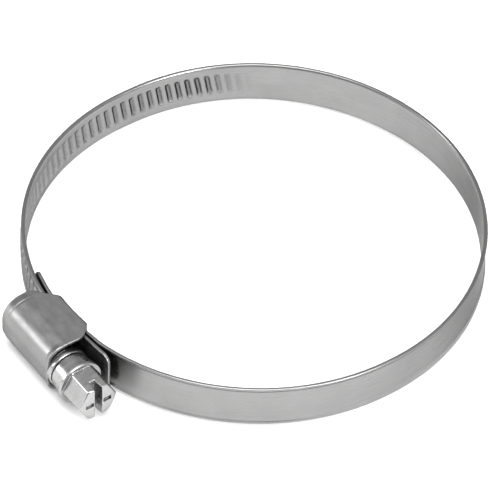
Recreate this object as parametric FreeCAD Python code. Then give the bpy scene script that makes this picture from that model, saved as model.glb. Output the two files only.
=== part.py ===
"""Worm-drive hose clamp, 9 mm band, 60 to 80 mm size, drawn fully open.

The origin is the centre of the hose at the middle of the band's width, +Z runs along the hose,
the housing is on the -Y side, and the screw points along +X with its head at the +X end.
The band is one steel strip. It bends as the clamp closes, so it is drawn as a chain of
rigid links that share hinge lines on the strip's inner face, and each link is its own node.
"""
import FreeCAD, Part
import math
import os
from FreeCAD import Vector

# ---- driving dimensions, millimetres and degrees ----
HOSE_RADIUS = 41.5            # inner radius of the band, fully open
BAND_WIDTH = 9.0
BAND_THICKNESS = 0.65
LIP_HEIGHT = 0.22             # rolled edge, standing outward from the band's outer face
LIP_WIDTH = 0.55
LAYER_GAP = 0.32              # between the fixed end and the strip that passes over it
SADDLE_THICKNESS = 0.6
SADDLE_FIT = 0.05             # between the saddle and the fixed end, and inside the hose circle
# Hinge lines between the strip's pieces, as angles round from the housing's middle on the head
# side. They are closer together where the strip passes through the housing as it tightens.
HINGE_ANGLES = (14.0, 47.0, 80.0, 113.0, 146.0, 179.0, 212.0, 245.0, 278.0, 306.0, 331.0, 356.0)

THREAD_PITCH = 2.0
TOOTH_HEIGHT = 0.5
TOOTH_BASE = 0.95
TOOTH_TOP = 0.42
TOOTH_LENGTH = 5.4            # across the band
RECESS_DEPTH = 0.45           # the same emboss, seen from inside the band
RECESS_WIDTH = 0.55
RECESS_LENGTH = 4.9
FIRST_TOOTH_ANGLE = 244.0
LAST_TOOTH_X = 4.6
TOOTH_OFFSET = -0.26          # where the teeth stand between the worm's turns when open

WORM_RADIUS = 3.6
WORM_CORE_RADIUS = 2.95
WORM_TO_BAND = 0.1            # between the worm's crest and the strip under it
THREAD_ROOT_WIDTH = 0.9
THREAD_CREST_WIDTH = 0.38
THREAD_LENGTH = 11.0
WORM_BACK_X = -6.9
WORM_FRONT_X = 6.5
JOURNAL_RADIUS = 2.4
JOURNAL_BACK_X = -7.9
DISC_RADIUS = 3.75
DISC_X = (7.8, 9.2)
NECK_RADIUS = 2.9
COLLAR_X = (9.5, 12.0)
COLLAR_RADII = (3.45, 3.9)
FLANGE_RADIUS = 4.5
FLANGE_X = (12.0, 12.8)
HEX_ACROSS_FLATS = 7.0
HEX_END_X = 18.6
HEX_CHAMFER = 0.45
SLOT_WIDTH = 1.3
SLOT_DEPTH = 3.2
CROSS_WIDTH = 0.9
CROSS_DEPTH = 0.6
CROSS_LENGTH = 5.2

HOUSING_BACK_X = -7.6
HOUSING_FRONT_X = 7.7
HOUSING_WALL = 0.65
HOUSING_INNER_HALF_WIDTH = 4.75
ARCH_CLEARANCE = 0.15         # between the worm's crest and the arch
ARCH_FLAT = 1.0               # half width of the flat on top of the arch
SADDLE_BACK_X = -3.4
SADDLE_FRONT_X = 5.3
BACK_SLOPE_TOP = 1.8          # side wall's back corner, below the screw's axis
FRONT_CORNER_DROP = 3.7       # side wall's front corner, below the screw's axis
LIP_DEPTH = 0.4               # how far the two inner lips reach past the screw's axis
JOURNAL_CLEARANCE = 0.2
FRONT_LIP_X = (6.6, 7.05)

TONGUE_TIP_X = -12.0          # end of the strip's fixed end, behind the housing
TONGUE_BEND_X = -7.5
TONGUE_SLOPE = 12.0
TONGUE_CORNER = 1.6
TAIL_BEND_X = 2.5
TAIL_TIP_X = 14.0
TAIL_SLOPE = 6.0
TAIL_CORNER = 1.8

# ---- worked out from them ----
FIXED_SHIFT = SADDLE_THICKNESS + SADDLE_FIT
LAPPED_SHIFT = FIXED_SHIFT + BAND_THICKNESS + LAYER_GAP
SCREW_Y = -(HOSE_RADIUS + LAPPED_SHIFT + BAND_THICKNESS + WORM_TO_BAND + WORM_RADIUS)
HALF_WIDTH = BAND_WIDTH / 2
LEAD_ANGLE = math.degrees(math.atan(THREAD_PITCH / (2 * math.pi * (WORM_RADIUS - TOOTH_HEIGHT / 2))))
QUARTER = HOSE_RADIUS * math.pi / 2
# The strip's inner face: stretches as (kind, centre y or start y, first angle, length)
STRETCHES = (
    ("arc", -FIXED_SHIFT, 0.0, QUARTER),
    ("line", -FIXED_SHIFT, 90.0, FIXED_SHIFT),
    ("arc", 0.0, 90.0, 2 * QUARTER),
    ("line", 0.0, 270.0, LAPPED_SHIFT),
    ("arc", -LAPPED_SHIFT, 270.0, 1.2 * QUARTER),
)


def on_circle(centre_y, radius, angle):
    """A point at an angle, in degrees, turned anticlockwise from the housing's direction."""
    turn = math.radians(angle)
    return Vector(radius * math.sin(turn), centre_y - radius * math.cos(turn), 0)


def distance_at(angle):
    """How far along the inner face the strip has turned through an angle."""
    run = math.radians(angle) * HOSE_RADIUS
    run += FIXED_SHIFT if angle > 90 else 0
    return run + (LAPPED_SHIFT if angle > 270 else 0)


def spot(distance, offset):
    """A point at a distance along the strip, offset outward from its inner face, and its angle."""
    start = 0.0
    for kind, y, angle, length in STRETCHES:
        if distance <= start + length or (kind, angle) == ("arc", 270.0):
            break
        start += length
    run = distance - start
    if kind == "arc":
        here = angle + math.degrees(run / HOSE_RADIUS)
        return on_circle(y, HOSE_RADIUS + offset, here), here
    side = 1 if angle == 90.0 else -1
    return Vector(side * (HOSE_RADIUS + offset), y + side * run, 0), angle


def prism(edges, z_low, z_high):
    face = Part.Face(Part.Wire(edges))
    face.translate(Vector(0, 0, z_low))
    return face.extrude(Vector(0, 0, z_high - z_low))


def polygon(points):
    return [Part.LineSegment(a, b).toShape() for a, b in zip(points, points[1:] + points[:1])]


def strip(begin, end, inner, outer, z_low, z_high):
    """A piece of the strip between two distances along it and two offsets from its inner face."""
    pieces = []
    start = 0.0
    for kind, y, angle, length in STRETCHES:
        low, high = max(begin, start), min(end, start + length)
        start += length
        if high - low < 1e-6:
            continue
        corners = [spot(d, o)[0] for o in (inner, outer) for d in (low + 1e-9, high - 1e-9)]
        if kind == "line":
            edges = polygon([corners[0], corners[1], corners[3], corners[2]])
        else:
            middles = [spot((low + high) / 2, o)[0] for o in (inner, outer)]
            edges = [
                Part.Arc(corners[0], middles[0], corners[1]).toShape(),
                Part.LineSegment(corners[1], corners[3]).toShape(),
                Part.Arc(corners[3], middles[1], corners[2]).toShape(),
                Part.LineSegment(corners[2], corners[0]).toShape(),
            ]
        pieces.append(prism(edges, z_low, z_high))
    return pieces[0].fuse(pieces[1:]).removeSplitter() if len(pieces) > 1 else pieces[0]


def band_strip(begin, end):
    """A plain stretch of band with its two rolled edges."""
    body = strip(begin, end, 0, BAND_THICKNESS, -HALF_WIDTH, HALF_WIDTH)
    lip_top = BAND_THICKNESS + LIP_HEIGHT
    lips = [
        strip(begin, end, BAND_THICKNESS / 2, lip_top, z, z + LIP_WIDTH)
        for z in (-HALF_WIDTH, HALF_WIDTH - LIP_WIDTH)
    ]
    return body.fuse(lips).removeSplitter()


def ridge(root_width, top_width, height, length):
    """A ridge along Z that stands up in +X from the YZ plane, with sloping flanks."""
    outline = [
        Vector(0, -root_width / 2, -length / 2),
        Vector(height, -top_width / 2, -length / 2),
        Vector(height, top_width / 2, -length / 2),
        Vector(0, root_width / 2, -length / 2),
    ]
    return Part.Face(Part.Wire(polygon(outline))).extrude(Vector(0, 0, length))


def placed(shape, point, outward, slant):
    """Stand a ridge on a point of the band, leaning by the thread's lead angle."""
    shape.rotate(Vector(0, 0, 0), Vector(1, 0, 0), slant)
    shape.rotate(Vector(0, 0, 0), Vector(0, 0, 1), outward)
    shape.translate(point)
    return shape


def teeth(begin, end):
    """The embossed teeth, and the recesses behind them, between two distances along the strip."""
    raised, sunk = [], []
    reach = (TOOTH_BASE + TOOTH_LENGTH * math.tan(math.radians(LEAD_ANGLE))) / 2
    apex = distance_at(360.0)
    scale = HOSE_RADIUS / (HOSE_RADIUS + BAND_THICKNESS + TOOTH_HEIGHT / 2)
    first = math.ceil((distance_at(FIRST_TOOTH_ANGLE) - apex) / (THREAD_PITCH * scale))
    last = math.floor((LAST_TOOTH_X - TOOTH_OFFSET) / THREAD_PITCH)
    for number in range(first, last + 1):
        distance = apex + (number * THREAD_PITCH + TOOTH_OFFSET) * scale
        if not begin <= distance - reach <= distance + reach <= end:
            continue
        foot, angle = spot(distance, BAND_THICKNESS - 0.05)
        tooth = ridge(TOOTH_BASE, TOOTH_TOP, TOOTH_HEIGHT + 0.05, TOOTH_LENGTH)
        raised.append(placed(tooth, foot, angle - 90, -LEAD_ANGLE))
        floor, angle = spot(distance, -0.2)
        recess = ridge(RECESS_WIDTH + 0.3, RECESS_WIDTH, RECESS_DEPTH + 0.2, RECESS_LENGTH)
        sunk.append(placed(recess, floor, angle - 90, -LEAD_ANGLE))
    return raised, sunk


def band_link(begin, end):
    body = band_strip(begin, end)
    raised, sunk = teeth(begin, end)
    if raised:
        body = body.fuse(raised).cut(Part.makeCompound(sunk)).removeSplitter()
    return body


def rounded_end(body, tip, direction, corner):
    """Trim the two corners of a strip's end to a radius; direction is +1 for an end at +X."""
    for side in (-1, 1):
        reach = 2 * corner
        low_z = HALF_WIDTH - corner if side > 0 else -HALF_WIDTH + corner - reach
        low_x = tip - corner if direction > 0 else tip + corner - reach
        block = Part.makeBox(reach, 8, reach, Vector(low_x, SCREW_Y + 1, low_z))
        centre = Vector(tip - direction * corner, SCREW_Y + 1, side * (HALF_WIDTH - corner))
        body = body.cut(block.cut(Part.makeCylinder(corner, 8, centre, Vector(0, 1, 0))))
    return body


def sloped_leaf(bend_angle, centre_y, end_x, slope):
    """A straight leaf of strip, from a radial line of the curved part to its end."""
    inner = on_circle(centre_y, HOSE_RADIUS, bend_angle)
    outer = on_circle(centre_y, HOSE_RADIUS + BAND_THICKNESS, bend_angle)
    rise = math.tan(math.radians(slope))
    far = [Vector(end_x, p.y + abs(end_x - p.x) * rise, 0) for p in (inner, outer)]
    return prism(polygon([inner, far[0], far[1], outer]), -HALF_WIDTH, HALF_WIDTH)


def make_fixed_end():
    """The strip's fixed end: the tongue behind the housing, the saddle's part, and the front."""
    bend = math.degrees(math.asin(TONGUE_BEND_X / HOSE_RADIUS))
    curved = strip(0, distance_at(HINGE_ANGLES[0]), 0, BAND_THICKNESS, -HALF_WIDTH, HALF_WIDTH)
    back = [on_circle(-FIXED_SHIFT, HOSE_RADIUS + o, a) for o in (0, BAND_THICKNESS)
            for a in (bend, bend / 2, 0)]
    edges = [
        Part.Arc(back[0], back[1], back[2]).toShape(),
        Part.LineSegment(back[2], back[5]).toShape(),
        Part.Arc(back[5], back[4], back[3]).toShape(),
        Part.LineSegment(back[3], back[0]).toShape(),
    ]
    saddle_part = prism(edges, -HALF_WIDTH, HALF_WIDTH)
    tongue = sloped_leaf(bend, -FIXED_SHIFT, TONGUE_TIP_X, TONGUE_SLOPE)
    body = curved.fuse([saddle_part, tongue]).removeSplitter()
    return rounded_end(body, TONGUE_TIP_X, -1, TONGUE_CORNER)


def make_tail():
    """The free end: from its hinge under the worm, out past the head, straight to its tip."""
    bend = 360 + math.degrees(math.asin(TAIL_BEND_X / HOSE_RADIUS))
    curved = band_link(distance_at(HINGE_ANGLES[-1]), distance_at(bend))
    leaf = sloped_leaf(bend, -LAPPED_SHIFT, TAIL_TIP_X, TAIL_SLOPE)
    return rounded_end(curved.fuse(leaf).removeSplitter(), TAIL_TIP_X, 1, TAIL_CORNER)


def arch_section(half_width, flat, top, bottom):
    """The outline across the housing, in Y and Z: two walls and an arch with a flat on top."""
    radius = half_width - flat
    crown = SCREW_Y - top
    shoulder = crown + radius
    bulge = radius * math.sqrt(0.5)
    points = {
        side: (
            Vector(0, bottom, side * half_width),
            Vector(0, shoulder, side * half_width),
            Vector(0, shoulder - bulge, side * (flat + bulge)),
            Vector(0, crown, side * flat),
        )
        for side in (-1, 1)
    }
    left, right = points[-1], points[1]
    return Part.Face(Part.Wire([
        Part.LineSegment(left[0], left[1]).toShape(),
        Part.Arc(left[1], left[2], left[3]).toShape(),
        Part.LineSegment(left[3], right[3]).toShape(),
        Part.Arc(right[3], right[2], right[1]).toShape(),
        Part.LineSegment(right[1], right[0]).toShape(),
        Part.LineSegment(right[0], left[0]).toShape(),
    ]))


def along_screw(face, back, front):
    face.translate(Vector(back, 0, 0))
    return face.extrude(Vector(front - back, 0, 0))


def inner_lip(inner_top, back, front, bar_radius):
    """A wall across the arch that keeps the worm from sliding out, with a hole for its bar."""
    overlap = HOUSING_WALL / 4
    face = arch_section(HOUSING_INNER_HALF_WIDTH + overlap, ARCH_FLAT, inner_top + overlap,
                        SCREW_Y + LIP_DEPTH)
    hole = Part.makeCylinder(bar_radius + JOURNAL_CLEARANCE, 40, Vector(-20, SCREW_Y, 0), Vector(1, 0, 0))
    return along_screw(face, back, front).cut(hole)


def make_housing():
    """One bent sheet: an arch over the worm, two side walls, and a saddle under the band."""
    outer_half = HOUSING_INNER_HALF_WIDTH + HOUSING_WALL
    inner_top = WORM_RADIUS + ARCH_CLEARANCE
    hose = Part.makeCylinder(HOSE_RADIUS - SADDLE_FIT, 40, Vector(0, 0, -20))
    saddle_top = Part.makeCylinder(HOSE_RADIUS - SADDLE_FIT + SADDLE_THICKNESS, 40, Vector(0, 0, -20))
    deep = -HOSE_RADIUS + 3
    outside = along_screw(arch_section(outer_half, ARCH_FLAT, inner_top + HOUSING_WALL, deep),
                          HOUSING_BACK_X, HOUSING_FRONT_X)
    inside = along_screw(arch_section(HOUSING_INNER_HALF_WIDTH, ARCH_FLAT, inner_top, deep),
                         HOUSING_BACK_X - 1, HOUSING_FRONT_X + 1)
    back_corner = Vector(SADDLE_BACK_X, -HOSE_RADIUS, 0)
    front_corner = Vector(SADDLE_FRONT_X, -HOSE_RADIUS, 0)
    side_view = polygon([
        Vector(HOUSING_BACK_X, SCREW_Y - 10, 0),
        Vector(HOUSING_BACK_X, SCREW_Y + BACK_SLOPE_TOP, 0),
        back_corner,
        Vector(SADDLE_BACK_X, deep, 0),
        Vector(SADDLE_FRONT_X, deep, 0),
        front_corner,
        Vector(HOUSING_FRONT_X, SCREW_Y + FRONT_CORNER_DROP, 0),
        Vector(HOUSING_FRONT_X, SCREW_Y - 10, 0),
    ])
    profile = prism(side_view, -20, 20)
    walls = outside.cut(inside).common(profile)
    saddle = outside.common(profile).common(saddle_top)
    lips = [
        inner_lip(inner_top, HOUSING_BACK_X, HOUSING_BACK_X + HOUSING_WALL, JOURNAL_RADIUS),
        inner_lip(inner_top, *FRONT_LIP_X, NECK_RADIUS),
    ]
    return walls.fuse([saddle] + lips).cut(hose).removeSplitter()


def turned(stations):
    """A bar turned about the screw's axis, from its stations (x, radius), back to front."""
    outline = [Vector(x, SCREW_Y - radius, 0) for x, radius in stations]
    outline += [Vector(stations[-1][0], SCREW_Y, 0), Vector(stations[0][0], SCREW_Y, 0)]
    return Part.Face(Part.Wire(polygon(outline))).revolve(Vector(0, SCREW_Y, 0), Vector(1, 0, 0), 360)


def worm_thread():
    """The right-hand thread, with its crests half a pitch from the teeth on the band's side."""
    helix = Part.makeHelix(THREAD_PITCH, THREAD_LENGTH, WORM_CORE_RADIUS - 0.1)
    root, crest = THREAD_ROOT_WIDTH / 2, THREAD_CREST_WIDTH / 2
    foot = WORM_CORE_RADIUS - 0.1
    profile = Part.Wire(polygon([
        Vector(foot, 0, -root),
        Vector(WORM_RADIUS, 0, -crest),
        Vector(WORM_RADIUS, 0, crest),
        Vector(foot, 0, root),
    ]))
    thread = Part.Wire(helix.Edges).makePipeShell([profile], True, True)
    # the helix starts on +X and climbs +Z: turn it so that +Z becomes the screw's +X and it
    # starts on the side that faces the band, half a pitch from a tooth
    thread.rotate(Vector(0, 0, 0), Vector(0, 0, 1), 180)
    thread.rotate(Vector(0, 0, 0), Vector(0, 1, 0), 90)
    thread.rotate(Vector(0, 0, 0), Vector(1, 0, 0), -90)
    start = THREAD_PITCH / 2 - round(THREAD_LENGTH / 2 / THREAD_PITCH) * THREAD_PITCH
    thread.translate(Vector(start, SCREW_Y, 0))
    return thread


def make_screw():
    """The worm screw: journal, worm, disc, neck, collar, flange and slotted hexagon head."""
    hex_radius = HEX_ACROSS_FLATS / 2 / math.cos(math.pi / 6)
    corners = [
        Vector(FLANGE_X[1], SCREW_Y + hex_radius * math.cos(math.radians(60 * k)),
               hex_radius * math.sin(math.radians(60 * k)))
        for k in range(6)
    ]
    hexagon = Part.Face(Part.Wire(polygon(corners))).extrude(Vector(HEX_END_X - FLANGE_X[1], 0, 0))
    chamfered = turned([
        (FLANGE_X[1] - 0.1, hex_radius + 0.1),
        (HEX_END_X - HEX_CHAMFER, hex_radius + 0.1),
        (HEX_END_X, HEX_ACROSS_FLATS / 2 - HEX_CHAMFER / 3),
    ])
    bar = turned([
        (JOURNAL_BACK_X, JOURNAL_RADIUS),
        (WORM_BACK_X, JOURNAL_RADIUS),
        (WORM_BACK_X, WORM_CORE_RADIUS),
        (WORM_FRONT_X, WORM_CORE_RADIUS),
        (WORM_FRONT_X, NECK_RADIUS),
        (DISC_X[0], NECK_RADIUS),
        (DISC_X[0], DISC_RADIUS),
        (DISC_X[1], DISC_RADIUS),
        (DISC_X[1], NECK_RADIUS),
        (COLLAR_X[0], NECK_RADIUS),
        (COLLAR_X[0], COLLAR_RADII[0]),
        (COLLAR_X[1], COLLAR_RADII[1]),
        (FLANGE_X[0], FLANGE_RADIUS),
        (FLANGE_X[1], FLANGE_RADIUS),
    ])
    screw = bar.fuse([worm_thread(), hexagon.common(chamfered)]).removeSplitter()
    slot = Part.makeBox(SLOT_DEPTH + 1, SLOT_WIDTH, 12,
                        Vector(HEX_END_X - SLOT_DEPTH, SCREW_Y - SLOT_WIDTH / 2, -6))
    cross = Part.makeBox(CROSS_DEPTH + 1, CROSS_LENGTH, CROSS_WIDTH,
                         Vector(HEX_END_X - CROSS_DEPTH, SCREW_Y - CROSS_LENGTH / 2, -CROSS_WIDTH / 2))
    return screw.cut(slot.fuse(cross))


def make_nodes():
    nodes = {"housing": make_housing(), "worm_screw": make_screw(), "band_fixed_end": make_fixed_end()}
    ends = [distance_at(angle) for angle in HINGE_ANGLES]
    for number, (begin, end) in enumerate(zip(ends, ends[1:]), 1):
        nodes[f"band_link_{number:02d}"] = band_link(begin, end)
    nodes["band_tail"] = make_tail()
    return nodes


os.makedirs("parts", exist_ok=True)
for node, shape in make_nodes().items():
    print(f"{node}: solids {len(shape.Solids)}, valid {shape.isValid()}, {shape.Volume:.2f} mm3")
    shape.exportStep(f"parts/{node}.step")
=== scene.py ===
"""Looks for a worm-drive hose clamp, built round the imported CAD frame.

Lengths are millimetres until a mesh is made. The origin is the hose's centre, +Z runs along the
hose, the housing is on the -Y side, and the screw points along +X with its head at the +X end.
"""

import math

import bpy
import numpy as np
from mathutils import Matrix, Vector


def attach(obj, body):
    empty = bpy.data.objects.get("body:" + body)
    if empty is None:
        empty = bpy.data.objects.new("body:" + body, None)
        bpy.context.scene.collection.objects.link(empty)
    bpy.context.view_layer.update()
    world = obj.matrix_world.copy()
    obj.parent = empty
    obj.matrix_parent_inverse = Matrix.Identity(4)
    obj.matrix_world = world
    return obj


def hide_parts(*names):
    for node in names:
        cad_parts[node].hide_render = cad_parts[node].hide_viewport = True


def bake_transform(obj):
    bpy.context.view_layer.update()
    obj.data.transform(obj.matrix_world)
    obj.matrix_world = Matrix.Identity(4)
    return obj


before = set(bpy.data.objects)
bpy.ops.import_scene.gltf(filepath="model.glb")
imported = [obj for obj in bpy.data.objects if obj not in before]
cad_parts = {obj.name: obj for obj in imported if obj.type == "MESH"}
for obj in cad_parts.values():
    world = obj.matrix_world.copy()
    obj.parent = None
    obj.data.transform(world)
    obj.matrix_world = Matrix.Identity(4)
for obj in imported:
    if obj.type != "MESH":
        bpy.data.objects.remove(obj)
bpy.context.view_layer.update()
MM = 0.001

# ---- sizes that the CAD source also has ----
HOSE_RADIUS = 41.5
BAND_WIDTH = 9.0
THICKNESS = 0.65                # of the strip, and of the housing's sheet
FIXED_SHIFT = 0.65              # the ring's first quarter is centred this far towards the housing
LAPPED_SHIFT = 1.62             # and its last quarter this far, to pass over the fixed end
HINGE_ANGLES = (14.0, 47.0, 80.0, 113.0, 146.0, 179.0, 212.0, 245.0, 278.0, 306.0, 331.0, 356.0)
PITCH = 2.0                     # of the worm
TOOTH_OFFSET = -0.26
FIRST_TOOTH_ANGLE = 244.0
LAST_TOOTH_X = 4.6
TONGUE_BEND_X, TONGUE_TIP_X, TONGUE_SLOPE, TONGUE_CORNER = -7.5, -12.0, 12.0, 1.6
TAIL_BEND_X, TAIL_TIP_X, TAIL_SLOPE, TAIL_CORNER = 2.5, 14.0, 6.0, 1.8
SCREW_Y = -47.47
WORM_BACK_X, WORM_FRONT_X = -6.9, 6.5
JOURNAL_RADIUS, JOURNAL_BACK_X = 2.4, -7.9
FLANGE_RADIUS, FLANGE_X = 4.5, (12.0, 12.8)
HEX_HALF_FLATS, HEX_END_X = 3.5, 18.6
HOUSING_BACK_X, HOUSING_FRONT_X = -7.6, 7.7
HOUSING_HALF_WIDTH = 5.4
ARCH_ROUND = 4.4
SADDLE_RADIUS = 41.45
BACK_SLOPE_TOP = 1.8
LIP_DEPTH = 0.4
QUARTER = HOSE_RADIUS * math.pi / 2

# ---- sizes of the skin alone: the strip ----
TOOTH_LEAN = math.radians(10.0)
PITCH_LINE = 0.25               # the worm's pitch is met this far above the strip's outer face
EXTRA_TEETH = 3                 # shallow teeth ahead of FIRST_TOOTH_ANGLE
WEAKEST_TOOTH, TOOTH_GAIN = 0.12, 0.2
# The press: half width, half length, depth, width of the side slopes, width of the end slopes
OUTER_PRESS = (0.6, 2.8, 0.36, 0.5, 0.8)
INNER_PRESS = (0.72, 2.85, 0.5, 0.62, 1.3)
# Across the strip: z, offset where the edge is rolled, offset where it is plain
EDGE_IN = (
    (3.7, 0.0, 0.0), (3.9, 0.012, 0.0), (4.05, 0.045, 0.0), (4.2, 0.1, 0.0), (4.32, 0.155, 0.01),
    (4.42, 0.225, 0.04), (4.48, 0.3, 0.1), (4.5, 0.39, 0.18),
)
EDGE_OUT = (
    (4.5, 0.62, 0.47), (4.48, 0.72, 0.55), (4.42, 0.8, 0.61), (4.33, 0.85, 0.64),
    (4.22, 0.87, 0.65), (4.08, 0.85, 0.65), (3.95, 0.79, 0.65), (3.82, 0.72, 0.65),
    (3.7, 0.675, 0.65), (3.55, 0.65, 0.65),
)
FLAT_Z = (0.0, 0.5, 1.0, 1.5, 1.8, 2.0, 2.15, 2.3, 2.45, 2.6, 2.7, 2.8, 2.95, 3.3)
ROLL_START, ROLL_FULL = 10.5, 13.5      # degrees round the ring where the rolled edges begin
ROLL_END = 1.5                  # how far past the tail's bend they end
TIP_ROUND = 0.2                 # how far from its tips the strip thins to an edge
TOOTH_STEP, RING_STEP, TAIL_STEP = 0.105, 1.1, 0.8
TIP_STEPS = (0.0, 0.02, 0.06, 0.12, 0.2, 0.32, 0.5, 0.7, 0.95, 1.25, 1.6, 1.9)
LONGEST_REACH, REACH_SHARE = 11.5, 0.98     # of a piece's reach to either side of its hinge
UV_UNIT = 100.0                 # millimetres of strip in one unit of its UV map
# Painted shade in the strip's colour: darkest on one flank of each recess and in its depth, none at
# a recess's lower end; a little darkening on the raised teeth outside
FLANK_LOOK, FLANK_GAIN = 0.06, 8        # how far ahead a falling flank is looked for
SHADE_ON_FLANK, SHADE_IN_DEPTH, DARKER_ON_TEETH, MOST_SHADE = 0.6, 0.9, 0.3, 0.85
SHADE_FADE_Z = (-2.9, -1.7)

# ---- sizes of the skin alone: the housing ----
ARCH_DROP = 0.35                # how much lower the arch is than CAD's
ARCH_FOOT = -2.5                # where the arch's rounding hands over to the saddle's corners
SADDLE_ROUND, SADDLE_INSET = 0.7, 0.5
BACK_TAPER, BACK_TAPER_X = 0.2, -5.9
FRONT_FLARE, FRONT_FLARE_X = 0.3, (6.3, 7.6)
GROOVE_DEPTH, GROOVE_X, GROOVE_WIDTH = 0.05, -5.75, 0.2
FRONT_CORNER_DROP = 3.9
FRONT_CUT, FRONT_CUT_LENGTH = (2.3, 2.4), 3.32
INNER_LIPS = ((-7.45, -6.95, 2.6), (6.6, 7.05, 3.1))     # back, front, radius of the hole

# ---- sizes of the skin alone: the screw ----
WORM_CREST, WORM_CORE = 3.3, 2.7
THREAD_X = (-5.5, 6.4)
THREAD_HALF_ROOT, THREAD_TAPER = 0.45, 0.26 / 0.7
NECK_RADIUS, NECK_END_X = 3.1, 13.0
DISC_RADIUS, DISC_X = 4.0, (7.4, 8.75)
COLLAR_RADII, COLLAR_X = (3.9, 4.15), (9.0, 12.2)
KNURL_COUNT, KNURL_HEIGHT = 57, 0.05
HEX_BACK_X = 12.5
SLOT_FLOOR_X, SLOT_HALF_WIDTH, SLOT_SPREAD = 16.2, 0.5, 0.12
CROSS_FLOOR_X, CROSS_HALF_WIDTH = 17.9, 0.48
CROSS_CENTRE, CROSS_HALF_LENGTH = 1.85, 0.82


# ---- small helpers ----
def ramp(value, low, high):
    """0 at low, 1 at high, smooth between. low may be the larger."""
    t = np.clip((value - low) / (high - low), 0, 1)
    return t * t * (3 - 2 * t)


def soft_max(a, b, reach):
    """The larger of two fields, with the edge between them rounded."""
    h = np.maximum(reach - np.abs(a - b), 0) / reach
    return np.maximum(a, b) + h * h * reach / 4


def soft_min(a, b, reach):
    """The smaller of two fields, with the edge between them rounded."""
    return -soft_max(-a, -b, reach)


def mesh_object(name, points, faces, normals):
    """A smooth-shaded object from points in mm, with its own vertex normals."""
    mesh = bpy.data.meshes.new(name)
    mesh.vertices.add(len(points))
    mesh.vertices.foreach_set("co", (points * MM).astype(np.float32).ravel())
    mesh.loops.add(faces.size)
    mesh.loops.foreach_set("vertex_index", faces.astype(np.int32).ravel())
    mesh.polygons.add(len(faces))
    mesh.polygons.foreach_set("loop_start", np.arange(0, faces.size, 4, dtype=np.int32))
    mesh.polygons.foreach_set("use_smooth", np.ones(len(faces), bool))
    mesh.update(calc_edges=True)
    mesh.validate()
    mesh.normals_split_custom_set_from_vertices(normals.astype(np.float32))
    thing = bpy.data.objects.new(name, mesh)
    bpy.context.scene.collection.objects.link(thing)
    return thing


# ---- the band: one strip along a path, with rolled edges and pressed teeth ----
def distance_at(angle):
    """Distance along the strip's inner face at an angle round the ring, in degrees."""
    run = math.radians(angle) * HOSE_RADIUS
    run += FIXED_SHIFT if angle > 90 else 0
    return run + (LAPPED_SHIFT if angle > 270 else 0)


APEX = distance_at(360.0)
TONGUE_BEND = math.asin(TONGUE_BEND_X / HOSE_RADIUS) * HOSE_RADIUS
TAIL_BEND = APEX + math.asin(TAIL_BEND_X / HOSE_RADIUS) * HOSE_RADIUS
TONGUE_TIP = TONGUE_BEND + (TONGUE_TIP_X - TONGUE_BEND_X) / math.cos(math.radians(TONGUE_SLOPE))
TAIL_TIP = TAIL_BEND + (TAIL_TIP_X - TAIL_BEND_X) / math.cos(math.radians(TAIL_SLOPE))


def strip_path(distance):
    """Points and headings of the strip's inner face, from the tongue round to the free end."""
    s = np.asarray(distance, float)
    far_start = QUARTER + FIXED_SHIFT
    drop_start = far_start + 2 * QUARTER
    last_start = drop_start + LAPPED_SHIFT
    run = np.clip(s, TONGUE_BEND, TAIL_BEND)
    stretch = [run < QUARTER, run < far_start, run < drop_start, run < last_start]
    far_turn = math.pi / 2 + (run - far_start) / HOSE_RADIUS
    last_turn = 1.5 * math.pi + (run - last_start) / HOSE_RADIUS
    turn = np.select(stretch, [run / HOSE_RADIUS, math.pi / 2, far_turn, 1.5 * math.pi], last_turn)
    climb = run - QUARTER - FIXED_SHIFT
    centre = np.select(stretch, [-FIXED_SHIFT, climb, 0.0, drop_start - run], -LAPPED_SHIFT)
    x = HOSE_RADIUS * np.sin(turn)
    y = centre - HOSE_RADIUS * np.cos(turn)
    tongue, tail = s < TONGUE_BEND, s > TAIL_BEND
    turn = np.where(tongue, -math.radians(TONGUE_SLOPE), turn)
    turn = np.where(tail, 2 * math.pi + math.radians(TAIL_SLOPE), turn)
    x = x + (s - run) * np.cos(turn)
    y = y + (s - run) * np.sin(turn)
    return x, y, turn


def teeth_places():
    """Distance along the strip and strength of each pressed tooth."""
    scale = HOSE_RADIUS / (HOSE_RADIUS + THICKNESS + PITCH_LINE)
    first = math.ceil((distance_at(FIRST_TOOTH_ANGLE) - APEX) / (PITCH * scale))
    last = math.floor((LAST_TOOTH_X - TOOTH_OFFSET) / PITCH)
    found = []
    for rank, number in enumerate(range(first - EXTRA_TEETH, last + 1)):
        strength = min(1.0, WEAKEST_TOOTH + TOOTH_GAIN * rank)
        found.append((APEX + (number * PITCH + TOOTH_OFFSET) * scale, strength))
    return found


def pressed(s, z, half_width, half_length, depth, flank, end_flank):
    """How far the press pushes the sheet outward at points of the strip."""
    total = np.zeros(np.broadcast(s, z).shape)
    for centre, strength in teeth_places():
        across = np.abs((s - centre) * math.cos(TOOTH_LEAN) - z * math.sin(TOOTH_LEAN))
        side = (half_width - across) / flank
        end = (half_length - np.abs(z)) / end_flank
        total = np.maximum(total, depth * strength * ramp(soft_min(side, end, 0.4), 0, 1))
    return total


def section():
    """The strip's cross-section as a closed loop: z, rolled offset, plain offset, inner flag."""
    half_in = [(z, 0.0, 0.0, 1) for z in FLAT_Z] + [(*p, 1) for p in EDGE_IN]
    half_out = [(*p, 0) for p in EDGE_OUT] + [(z, THICKNESS, THICKNESS, 0) for z in reversed(FLAT_Z)]
    half = half_in + half_out
    other = [(-z, rolled, plain, inner) for z, rolled, plain, inner in reversed(half[1:-1])]
    return np.array(half + other, float)


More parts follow.
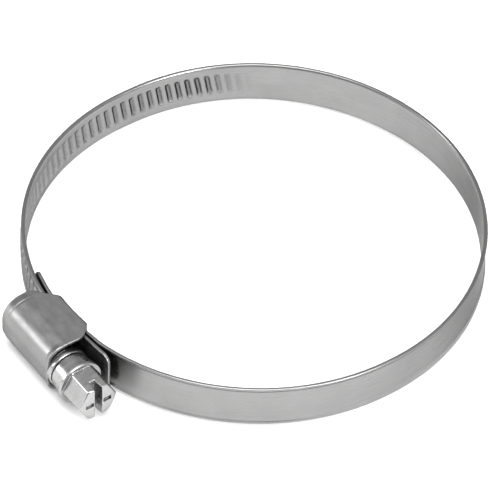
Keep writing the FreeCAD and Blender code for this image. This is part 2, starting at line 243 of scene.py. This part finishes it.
def columns():
    """Distances that have a cross-section, close together by the teeth, and those of the cuts."""
    hinges = [distance_at(a) for a in HINGE_ANGLES]
    middles = [(a + b) / 2 for a, b in zip(hinges, hinges[1:])]
    toothed = teeth_places()[0][0] - 1
    fine = np.arange(toothed, APEX + LAST_TOOTH_X + 1.5, TOOTH_STEP)
    ring = np.arange(TONGUE_TIP + 2, toothed, RING_STEP)
    tail = np.arange(fine[-1] + 0.5, TAIL_TIP - 2, TAIL_STEP)
    steps = np.array(TIP_STEPS)
    every = np.concatenate([fine, ring, tail, TONGUE_TIP + steps, TAIL_TIP - steps, middles])
    every = np.unique(np.round(every, 4))
    every = every[np.concatenate([[True], np.diff(every) > 0.015])]
    for middle in middles:
        every[np.argmin(np.abs(every - middle))] = middle
    return np.sort(every), middles


def painted_press_shade(s, z, inner, outer_rise, inner_rise):
    """Painted shade on the strip: darkest on one flank of each recess and in its depth, none at a
    recess's lower end, and a little darkening on the raised teeth outside."""
    ahead = pressed(s + FLANK_LOOK, z, *INNER_PRESS)
    flank = np.clip((inner_rise - ahead) * FLANK_GAIN, 0, 1)
    painted_shade = np.clip(SHADE_ON_FLANK * flank + SHADE_IN_DEPTH * inner_rise, 0, MOST_SHADE)
    return np.where(inner > 0, painted_shade * ramp(z, *SHADE_FADE_Z), DARKER_ON_TEETH * outer_rise)


def strip_points(s, loop):
    """Points and painted shade of the strip's skin, for an array of distances and one cross-section.
    """
    z, rolled, plain, inner = (loop[:, k][None, :] for k in range(4))
    s = s[:, None]
    lip = ramp(s, distance_at(ROLL_START), distance_at(ROLL_FULL))
    lip = lip * ramp(s, TAIL_BEND + ROLL_END, TAIL_BEND)
    outer_rise = pressed(s, z, *OUTER_PRESS)
    inner_rise = pressed(s, z, *INNER_PRESS)
    offset = plain + (rolled - plain) * lip + np.where(inner > 0, inner_rise, outer_rise)
    for tip, corner in ((TONGUE_TIP, TONGUE_CORNER), (TAIL_TIP, TAIL_CORNER)):
        gap = np.abs(s - tip)
        near = gap < corner
        to_arc = corner - np.minimum(gap, corner)
        narrow = corner - np.sqrt(np.maximum(corner**2 - to_arc**2, 0))
        z = np.where(near, z * (1 - narrow / (BAND_WIDTH / 2)), z)
        thin = np.sqrt(np.clip(1 - (1 - np.minimum(gap, TIP_ROUND) / TIP_ROUND) ** 2, 0, 1))
        offset = np.where(near, THICKNESS / 2 + (offset - THICKNESS / 2) * thin, offset)
    x, y, turn = strip_path(s)
    x, y = x + offset * np.sin(turn), y - offset * np.cos(turn)
    painted_shade = painted_press_shade(s, z, inner, outer_rise, inner_rise)
    return np.stack([x + 0 * z, y + 0 * z, z + 0 * s], axis=-1), painted_shade


def grid_normals(points):
    """Normals of a grid of points that is closed along its second direction."""
    along = np.gradient(points, axis=0)
    girdle = np.roll(points, -1, axis=1) - np.roll(points, 1, axis=1)
    normal = np.cross(girdle, along)
    size = np.linalg.norm(normal, axis=-1, keepdims=True)
    return normal / np.maximum(size, 1e-12)


def strip_layers(piece, s, girth, painted_shade):
    """Gives a piece of the strip its UV map, which runs on from piece to piece, and its painted
    shade.
    """
    uv = piece.data.uv_layers.new(name="strip")
    where = np.stack(np.broadcast_arrays(s[:, None], girth[None, :]), axis=-1).reshape(-1, 2)
    corner = np.empty(len(piece.data.loops), np.int32)
    piece.data.loops.foreach_get("vertex_index", corner)
    uv.data.foreach_set("uv", (where[corner] / UV_UNIT).astype(np.float32).ravel())
    shade = piece.data.attributes.new("painted_shade", "FLOAT", "POINT")
    shade.data.foreach_set("value", painted_shade.astype(np.float32).ravel())


def build_band():
    """The strip in pieces that each cross one hinge."""
    loop = section()
    s, middles = columns()
    # the points come with the painted shade that darkens the recesses
    points, painted_shade = strip_points(s, loop)
    normals = grid_normals(points)
    girth = np.concatenate([[0], np.cumsum(np.hypot(np.diff(loop[:, 0]), np.diff(loop[:, 1])))])
    count = len(loop)
    nodes = ["band_fixed_end"] + [f"band_link_{k:02d}" for k in range(1, len(HINGE_ANGLES))]
    edges = [s[0], *middles, s[-1]]
    metal = band_steel()
    for k, angle in enumerate(HINGE_ANGLES):
        rows = np.where((s >= edges[k] - 1e-6) & (s <= edges[k + 1] + 1e-6))[0]
        here = np.arange(len(rows) * count).reshape(len(rows), count)
        after = np.roll(here, -1, axis=1)
        faces = np.stack([here[:-1], after[:-1], after[1:], here[1:]], axis=-1).reshape(-1, 4)
        block = points[rows].reshape(-1, 3)
        piece = mesh_object(f"band_{k:02d}", block, faces, normals[rows].reshape(-1, 3))
        strip_layers(piece, s[rows], girth, painted_shade[rows])
        piece.data.materials.append(metal)
        hinge = distance_at(angle)
        reach = min(hinge - edges[k], edges[k + 1] - hinge, LONGEST_REACH) * REACH_SHARE
        for d in (hinge - reach, hinge + reach):
            x, y, _ = strip_path(d)
        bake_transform(piece)
        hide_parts(nodes[k])
        if k == len(HINGE_ANGLES) - 1:
            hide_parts("band_tail")


# ---- solid pieces: a closed skin on a field that is negative inside ----
GRID_MARGIN = (1.5, 2.5)        # cells of grid beyond the low and the high corner
SETTLING_STEPS = 4              # times the points are moved onto the field's zero
LEAST_STEEPNESS = 0.2


def other_axes(axis):
    return [k for k in range(3) if k != axis]


def edge_crossings(value, axis):
    """Which grid edges along an axis cross the skin, how far along, and which start inside."""
    a = np.take(value, range(value.shape[axis] - 1), axis)
    b = np.take(value, range(1, value.shape[axis]), axis)
    crossed = (a < 0) != (b < 0)
    share = np.where(crossed, a / np.where(crossed, a - b, 1), 0)
    return crossed, share, a < 0


def cell_points(shape, crossings):
    """Numbers the grid cells that the skin runs through, and finds a point of it in each."""
    total = np.zeros((*shape, 3), np.float32)
    hits = np.zeros(shape, np.float32)
    for axis, (crossed, share, _) in enumerate(crossings):
        u, v = other_axes(axis)
        for p, q in ((0, 0), (0, 1), (1, 0), (1, 1)):
            cut = [slice(None)] * 3
            cut[u] = slice(p, p + shape[u])
            cut[v] = slice(q, q + shape[v])
            hit = crossed[tuple(cut)]
            hits += hit
            total[..., axis] += np.where(hit, share[tuple(cut)], 0)
            total[..., u] += hit * p
            total[..., v] += hit * q
    mixed = hits > 0
    index = -np.ones(shape, np.int64)
    index[mixed] = np.arange(mixed.sum())
    return index, np.argwhere(mixed) + total[mixed] / hits[mixed][:, None]


def cell_faces(index, crossed, inside, axis):
    """One face round each crossed edge, from the four cells that share it, turned outward."""
    u, v = other_axes(axis)
    inner = [slice(None)] * 3
    inner[u] = slice(1, crossed.shape[u] - 1)
    inner[v] = slice(1, crossed.shape[v] - 1)
    spots = np.argwhere(crossed[tuple(inner)])
    spots[:, (u, v)] += 1
    corners = []
    for p, q in ((0, 0), (1, 0), (1, 1), (0, 1)):
        at = spots.copy()
        at[:, u] -= p
        at[:, v] -= q
        corners.append(index[tuple(at.T)])
    quad = np.stack(corners, axis=-1)
    flip = inside[tuple(spots.T)]
    if axis == 1:
        flip = ~flip
    return np.where(flip[:, None], quad, quad[:, ::-1])


def field_slope(field, points, step=0.01):
    """Values of a field at points, and which way and how fast it grows there."""
    value = field(*points.T)
    slope = np.stack([
        (field(*(points + step * d).T) - field(*(points - step * d).T)) / (2 * step)
        for d in np.eye(3)
    ], axis=-1)
    return value, slope


def skin(name, field, low, high, cell):
    """An object whose mesh lies where a field is zero, found on a grid with cells of one size."""
    before, after = GRID_MARGIN
    axes = [np.arange(a - before * cell, b + after * cell, cell) for a, b in zip(low, high)]
    value = field(*np.meshgrid(*axes, indexing="ij")).astype(np.float32)
    crossings = [edge_crossings(value, axis) for axis in range(3)]
    index, places = cell_points(np.array(value.shape) - 1, crossings)
    points = np.array([a[0] for a in axes]) + cell * places
    faces = np.concatenate([
        cell_faces(index, crossed, inside, axis)
        for axis, (crossed, _, inside) in enumerate(crossings)
    ])
    for _ in range(SETTLING_STEPS):
        value, slope = field_slope(field, points)
        steepness = np.maximum((slope**2).sum(1), LEAST_STEEPNESS)[:, None]
        points = points - np.clip(value, -cell, cell)[:, None] * slope / steepness
    _, slope = field_slope(field, points)
    normals = slope / np.maximum(np.linalg.norm(slope, axis=1), 1e-9)[:, None]
    return mesh_object(name, points, faces, normals)


def rounded_box(across, up, half, radius):
    """Field of a half-open box across an axis, with a rounded far corner."""
    a, b = across - (half - radius), up
    return np.hypot(np.maximum(a, 0), np.maximum(b, 0)) + np.minimum(np.maximum(a, b), 0) - radius


def housing_field(x, y, z):
    """Bent sheet: an arch over the worm, side walls, a saddle under the band, two inner lips."""
    out = SCREW_Y - y
    wide = np.abs(z)
    saddle = SCREW_Y + np.sqrt(np.maximum(SADDLE_RADIUS**2 - x**2, 0))
    arch = rounded_box(wide, out + ARCH_DROP, HOUSING_HALF_WIDTH, ARCH_ROUND)
    low = rounded_box(wide, saddle + SADDLE_INSET - out, HOUSING_HALF_WIDTH, SADDLE_ROUND)
    body = np.where(out > ARCH_FOOT, arch, low)
    crown = ramp(out, ARCH_FOOT, 0.5)
    body = body + BACK_TAPER * ramp(x, BACK_TAPER_X, HOUSING_BACK_X) * crown
    shoulder = ramp(wide, 2.0, 3.6) * ramp(out, 0.0, 2.0)
    body = body - FRONT_FLARE * ramp(x, *FRONT_FLARE_X) * shoulder
    body = body + GROOVE_DEPTH * np.exp(-(((x - GROOVE_X) / GROOVE_WIDTH) ** 2)) * crown
    saddle_extra = 0.2 * ramp(out, -5.0, -5.5)
    shell = soft_max(body, -(body + THICKNESS + saddle_extra), 0.12)
    back_cut = (-(x - HOUSING_BACK_X) - (out + BACK_SLOPE_TOP)) / math.sqrt(2)
    back = soft_max(HOUSING_BACK_X - x, back_cut, 0.5)
    past_front = x - HOUSING_FRONT_X
    front_cut = FRONT_CUT[0] * past_front - FRONT_CUT[1] * (out + FRONT_CORNER_DROP)
    front = soft_max(past_front, front_cut / FRONT_CUT_LENGTH, 0.9)
    shell = soft_max(shell, np.maximum(back, front), 0.24)
    radius = np.hypot(out, z)
    for start, end, hole in INNER_LIPS:
        in_sheet = np.maximum(body + 0.3, -LIP_DEPTH - out)
        wall = np.maximum(np.maximum(start - x, x - end), in_sheet)
        wall = soft_max(wall, hole - radius, 0.2)
        shell = soft_min(shell, wall, 0.25)
    return shell


def bar(x, radius, start, end, first, last):
    """Field of a turned length of bar whose radius runs evenly from first to last."""
    along = np.clip((x - start) / (end - start), 0, 1)
    slope = (last - first) / (end - start)
    side = (radius - (first + (last - first) * along)) / math.hypot(1, slope)
    return soft_max(side, np.maximum(start - x, x - end), 0.25)


def turned_field(x, radius, turn):
    """The screw's round parts: journal, worm core, neck, disc, flange and knurled collar."""
    ends = np.maximum(JOURNAL_BACK_X - x, x - NECK_END_X)
    field = soft_max(radius - JOURNAL_RADIUS, ends, 0.3)
    for start, end, size in (
        (WORM_BACK_X, WORM_FRONT_X, WORM_CORE), (WORM_FRONT_X, NECK_END_X, NECK_RADIUS),
        (*DISC_X, DISC_RADIUS), (*FLANGE_X, FLANGE_RADIUS),
    ):
        field = soft_min(field, bar(x, radius, start, end, size, size), 0.1)
    marks = np.maximum(0, np.cos(turn * KNURL_COUNT)) ** 4
    marks = marks * ramp(np.cos(turn * 2 - 1.1), 0.3, 0.6)
    marks = KNURL_HEIGHT * marks * ramp(x, 9.7, 10.1) * ramp(x, 11.7, 11.3)
    return soft_min(field, bar(x, radius, *COLLAR_X, *COLLAR_RADII) + marks, 0.12)


def thread_field(x, radius, turn):
    """The worm's right-hand thread, narrower at its crest."""
    shift = (x - 1 - PITCH * turn / (2 * math.pi) + 1) % PITCH - 1
    width = THREAD_HALF_ROOT - (radius - 2.6) * THREAD_TAPER
    thread = soft_max(radius - WORM_CREST, (np.abs(shift) - width) * 0.94, 0.15)
    return soft_max(thread, np.maximum(THREAD_X[0] - x, x - THREAD_X[1]), 0.3)


def head_field(x, up, z, radius):
    """The chamfered hexagon, with a slot across its face and a shallow cut across the slot."""
    sixth = math.pi / 6
    flats = [np.abs(up * math.cos(a) + z * math.sin(a)) for a in (sixth, 3 * sixth, 5 * sixth)]
    hexagon = soft_max(soft_max(flats[0], flats[1], 0.3), flats[2], 0.3) - HEX_HALF_FLATS
    head = soft_max(hexagon, (radius - 3.3 - (HEX_END_X - x) * 1.73) / 2, 0.12)
    head = soft_max(head, np.maximum(HEX_BACK_X - x, x - HEX_END_X), 0.28)
    past_floor = x - SLOT_FLOOR_X
    slot = np.maximum(np.abs(up) - SLOT_HALF_WIDTH - SLOT_SPREAD * past_floor, -past_floor)
    head = soft_max(head, -slot, 0.22)
    from_centre = np.abs(np.abs(up) - CROSS_CENTRE) - CROSS_HALF_LENGTH
    cross = np.maximum(np.maximum(np.abs(z) - CROSS_HALF_WIDTH, from_centre), CROSS_FLOOR_X - x)
    return soft_max(head, -cross, 0.14)


def screw_field(x, y, z):
    """The whole screw: its turned parts, its thread and its head."""
    up = y - SCREW_Y
    radius = np.hypot(up, z)
    turn = np.arctan2(z, up)
    field = soft_min(turned_field(x, radius, turn), thread_field(x, radius, turn), 0.15)
    return soft_min(field, head_field(x, up, z, radius), 0.15)


# ---- materials ----
def node(tree, kind, inputs=None, **settings):
    """A shader node. Each input is a value, or another node's output to link from."""
    made = tree.nodes.new(kind)
    for key, value in settings.items():
        setattr(made, key, value)
    for key, value in (inputs or {}).items():
        if isinstance(value, bpy.types.NodeSocket):
            tree.links.new(value, made.inputs[key])
        else:
            made.inputs[key].default_value = value
    return made


def noise(tree, place, scale, detail, roughness):
    sockets = {"Vector": place, "Scale": scale, "Detail": detail, "Roughness": roughness}
    return node(tree, "ShaderNodeTexNoise", sockets).outputs["Fac"]


def stretched(tree, value, low, high, to_low=0.0, to_high=1.0):
    """A value spread out so that low becomes to_low and high becomes to_high."""
    sockets = {"Value": value, "From Min": low, "From Max": high, "To Min": to_low,
               "To Max": to_high}
    return node(tree, "ShaderNodeMapRange", sockets).outputs["Result"]


def product(tree, a, b):
    return node(tree, "ShaderNodeMath", {0: a, 1: b}, operation="MULTIPLY").outputs[0]


def weighted(tree, value, weight, added):
    """value times weight, plus added."""
    sockets = {0: value, 1: weight, 2: added}
    return node(tree, "ShaderNodeMath", sockets, operation="MULTIPLY_ADD").outputs[0]


def colour_mix(tree, share, first, second):
    return node(tree, "ShaderNodeMix", {0: share, 6: first, 7: second}, data_type="RGBA").outputs[2]


def grey(value):
    return (value, value, value * 0.995, 1.0)


def steel(name, coordinate, streak_scale, dark, light, rough_low, rough_high, bump):
    """Bright steel with rolling streaks, cloudy tone, small pits and worn gloss."""
    material = bpy.data.materials.new(name)
    material.use_nodes = True
    tree = material.node_tree
    shader = tree.nodes["Principled BSDF"]
    place = node(tree, "ShaderNodeTexCoord").outputs[coordinate]
    along = node(tree, "ShaderNodeMapping", {"Vector": place, "Scale": streak_scale}).outputs[0]
    size = 1.0 if coordinate == "UV" else 10.0
    streaks = noise(tree, along, 1.0, 6.0, 0.65)
    clouds = noise(tree, place, 11.0 * size, 5.0, 0.6)
    fine = noise(tree, place, 260.0 * size, 3.0, 0.6)
    spots = node(tree, "ShaderNodeTexVoronoi", {
        "Vector": place, "Scale": 55.0 * size, "Randomness": 1.0}).outputs["Distance"]
    pits = stretched(tree, spots, 0.03, 0.09, 1.0, 0.0)
    pits = product(tree, pits, stretched(tree, clouds, 0.56, 0.64))
    tone = weighted(tree, clouds, 0.45, product(tree, streaks, 0.55))
    colour = colour_mix(tree, stretched(tree, tone, 0.36, 0.64), grey(dark), grey(light))
    colour = colour_mix(tree, pits, colour, grey(dark * 0.45))
    tree.links.new(colour, shader.inputs["Base Color"])
    gloss = stretched(tree, streaks, 0.3, 0.7, rough_low, rough_high)
    tree.links.new(gloss, shader.inputs["Roughness"])
    height = weighted(tree, pits, -0.8, weighted(tree, fine, 0.35, streaks))
    relief = node(tree, "ShaderNodeBump", {"Height": height, "Strength": bump, "Distance": 0.00002})
    tree.links.new(relief.outputs[0], shader.inputs["Normal"])
    shader.inputs["Metallic"].default_value = 1.0
    shader.inputs["Specular Tint"].default_value = (0.4, 0.4, 0.4, 1.0)
    return material


def band_steel():
    """The strip's steel, its colour darkened by painted shade where the press has sunk it."""
    material = steel("band_steel", "UV", streak_scale=(6.0, 900.0, 1.0), dark=0.235, light=0.285,
                     rough_low=0.24, rough_high=0.34, bump=0.3)
    tree = material.node_tree
    shader = tree.nodes["Principled BSDF"]
    unshaded_colour = shader.inputs["Base Color"].links[0].from_socket
    painted_shade = node(tree, "ShaderNodeAttribute", attribute_name="painted_shade").outputs["Fac"]
    # painted shade: the attribute mixes the colour toward a near-black grey
    tree.links.new(colour_mix(tree, painted_shade, unshaded_colour, grey(0.05)), shader.inputs["Base Color"])
    return material


# ---- stage: floor, studio light and camera ----
FLOOR_Z = -5.75
# Height of a direction, from 0 at the horizon or below to 1 overhead, and the brightness there
SKY = ((0.0, 0.6), (0.25, 0.6), (0.45, 0.35), (0.6, 0.45), (0.75, 0.7), (1.0, 1.2))
CAMERA_ELEVATION, CAMERA_HEADING, CAMERA_ROLL = 45.4, 54.0, -2.05
CAMERA_LENS = 399.0
AIM_RIGHT, AIM_UP = -2.53, -1.12


def build_floor():
    bpy.ops.mesh.primitive_plane_add(size=3.0, location=(0, 0, FLOOR_Z * MM))
    floor = bpy.context.active_object
    floor.name = "floor"
    material = bpy.data.materials.new("pale_floor")
    material.use_nodes = True
    shader = material.node_tree.nodes["Principled BSDF"]
    shader.inputs["Base Color"].default_value = (0.93, 0.93, 0.93, 1)
    shader.inputs["Roughness"].default_value = 0.9
    shader.inputs["Specular IOR Level"].default_value = 0.1
    floor.data.materials.append(material)


def build_sky():
    world = bpy.data.worlds.new("studio")
    bpy.context.scene.world = world
    world.use_nodes = True
    tree = world.node_tree
    direction = node(tree, "ShaderNodeTexCoord").outputs["Generated"]
    height = node(tree, "ShaderNodeSeparateXYZ", {0: direction}).outputs[2]
    sky = node(tree, "ShaderNodeValToRGB", {0: height})
    stops = sky.color_ramp.elements
    while len(stops) < len(SKY):
        stops.new(0.5)
    for stop, (place, value) in zip(stops, SKY):
        stop.position = place
        stop.color = (value, value, value, 1)
    tree.links.new(sky.outputs[0], tree.nodes["Background"].inputs["Color"])
    tree.nodes["Background"].inputs["Strength"].default_value = 1.0


def area_light(name, position, size, power):
    """A round lamp at a place in metres, turned towards the hose's centre."""
    lamp = bpy.data.lights.new(name, "AREA")
    lamp.shape = "DISK"
    lamp.size = size
    lamp.energy = power
    thing = bpy.data.objects.new(name, lamp)
    bpy.context.scene.collection.objects.link(thing)
    thing.location = position
    thing.rotation_euler = (-Vector(position)).to_track_quat("-Z", "Y").to_euler()


def build_camera():
    """A long lens a metre away, looking down at the clamp from the screw head's side."""
    elevation, heading, roll = (
        math.radians(angle) for angle in (CAMERA_ELEVATION, CAMERA_HEADING, CAMERA_ROLL))
    level = Vector((math.cos(heading), math.sin(heading), 0))
    into = Vector((-math.sin(heading), math.cos(heading), 0))
    rise = into * math.sin(elevation) + Vector((0, 0, math.cos(elevation)))
    back = Vector((0, 0, math.sin(elevation))) - into * math.cos(elevation)
    right = level * math.cos(roll) - rise * math.sin(roll)
    up = level * math.sin(roll) + rise * math.cos(roll)
    lens = bpy.data.cameras.new("camera")
    lens.sensor_width = 36.0
    lens.lens = CAMERA_LENS
    lens.clip_start, lens.clip_end = 0.05, 10
    camera = bpy.data.objects.new("camera", lens)
    bpy.context.scene.collection.objects.link(camera)
    aim = AIM_RIGHT * MM * right + AIM_UP * MM * up
    turned = Matrix((right, up, back)).transposed().to_4x4()
    camera.matrix_world = Matrix.Translation(aim + back) @ turned
    bpy.context.scene.camera = camera


build_band()
housing = skin("housing_shell", housing_field,
               low=(-7.8, -52.3, -5.9), high=(7.9, -40.2, 5.9), cell=0.12)
housing.data.materials.append(
    steel("housing_steel", "Object", streak_scale=(420.0, 900.0, 900.0), dark=0.235, light=0.29,
          rough_low=0.34, rough_high=0.46, bump=0.7))
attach(housing, "base")
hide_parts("housing")
screw = skin("screw_body", screw_field,
             low=(-8.0, -52.1, -4.7), high=(18.8, -42.8, 4.7), cell=0.105)
screw.data.materials.append(
    steel("screw_steel", "Object", streak_scale=(900.0, 250.0, 250.0), dark=0.33, light=0.42,
          rough_low=0.2, rough_high=0.34, bump=0.6))
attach(screw, "screw")
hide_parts("worm_screw")

build_floor()
build_sky()
area_light("key", (-0.55, -0.72, 0.3), size=0.3, power=2.4)
area_light("window", (0.9, 0.1, 0.5), size=0.4, power=8)
area_light("top", (0.25, -0.25, 1.1), size=1.0, power=15)
build_camera()
bpy.context.scene.view_settings.view_transform = "Standard"
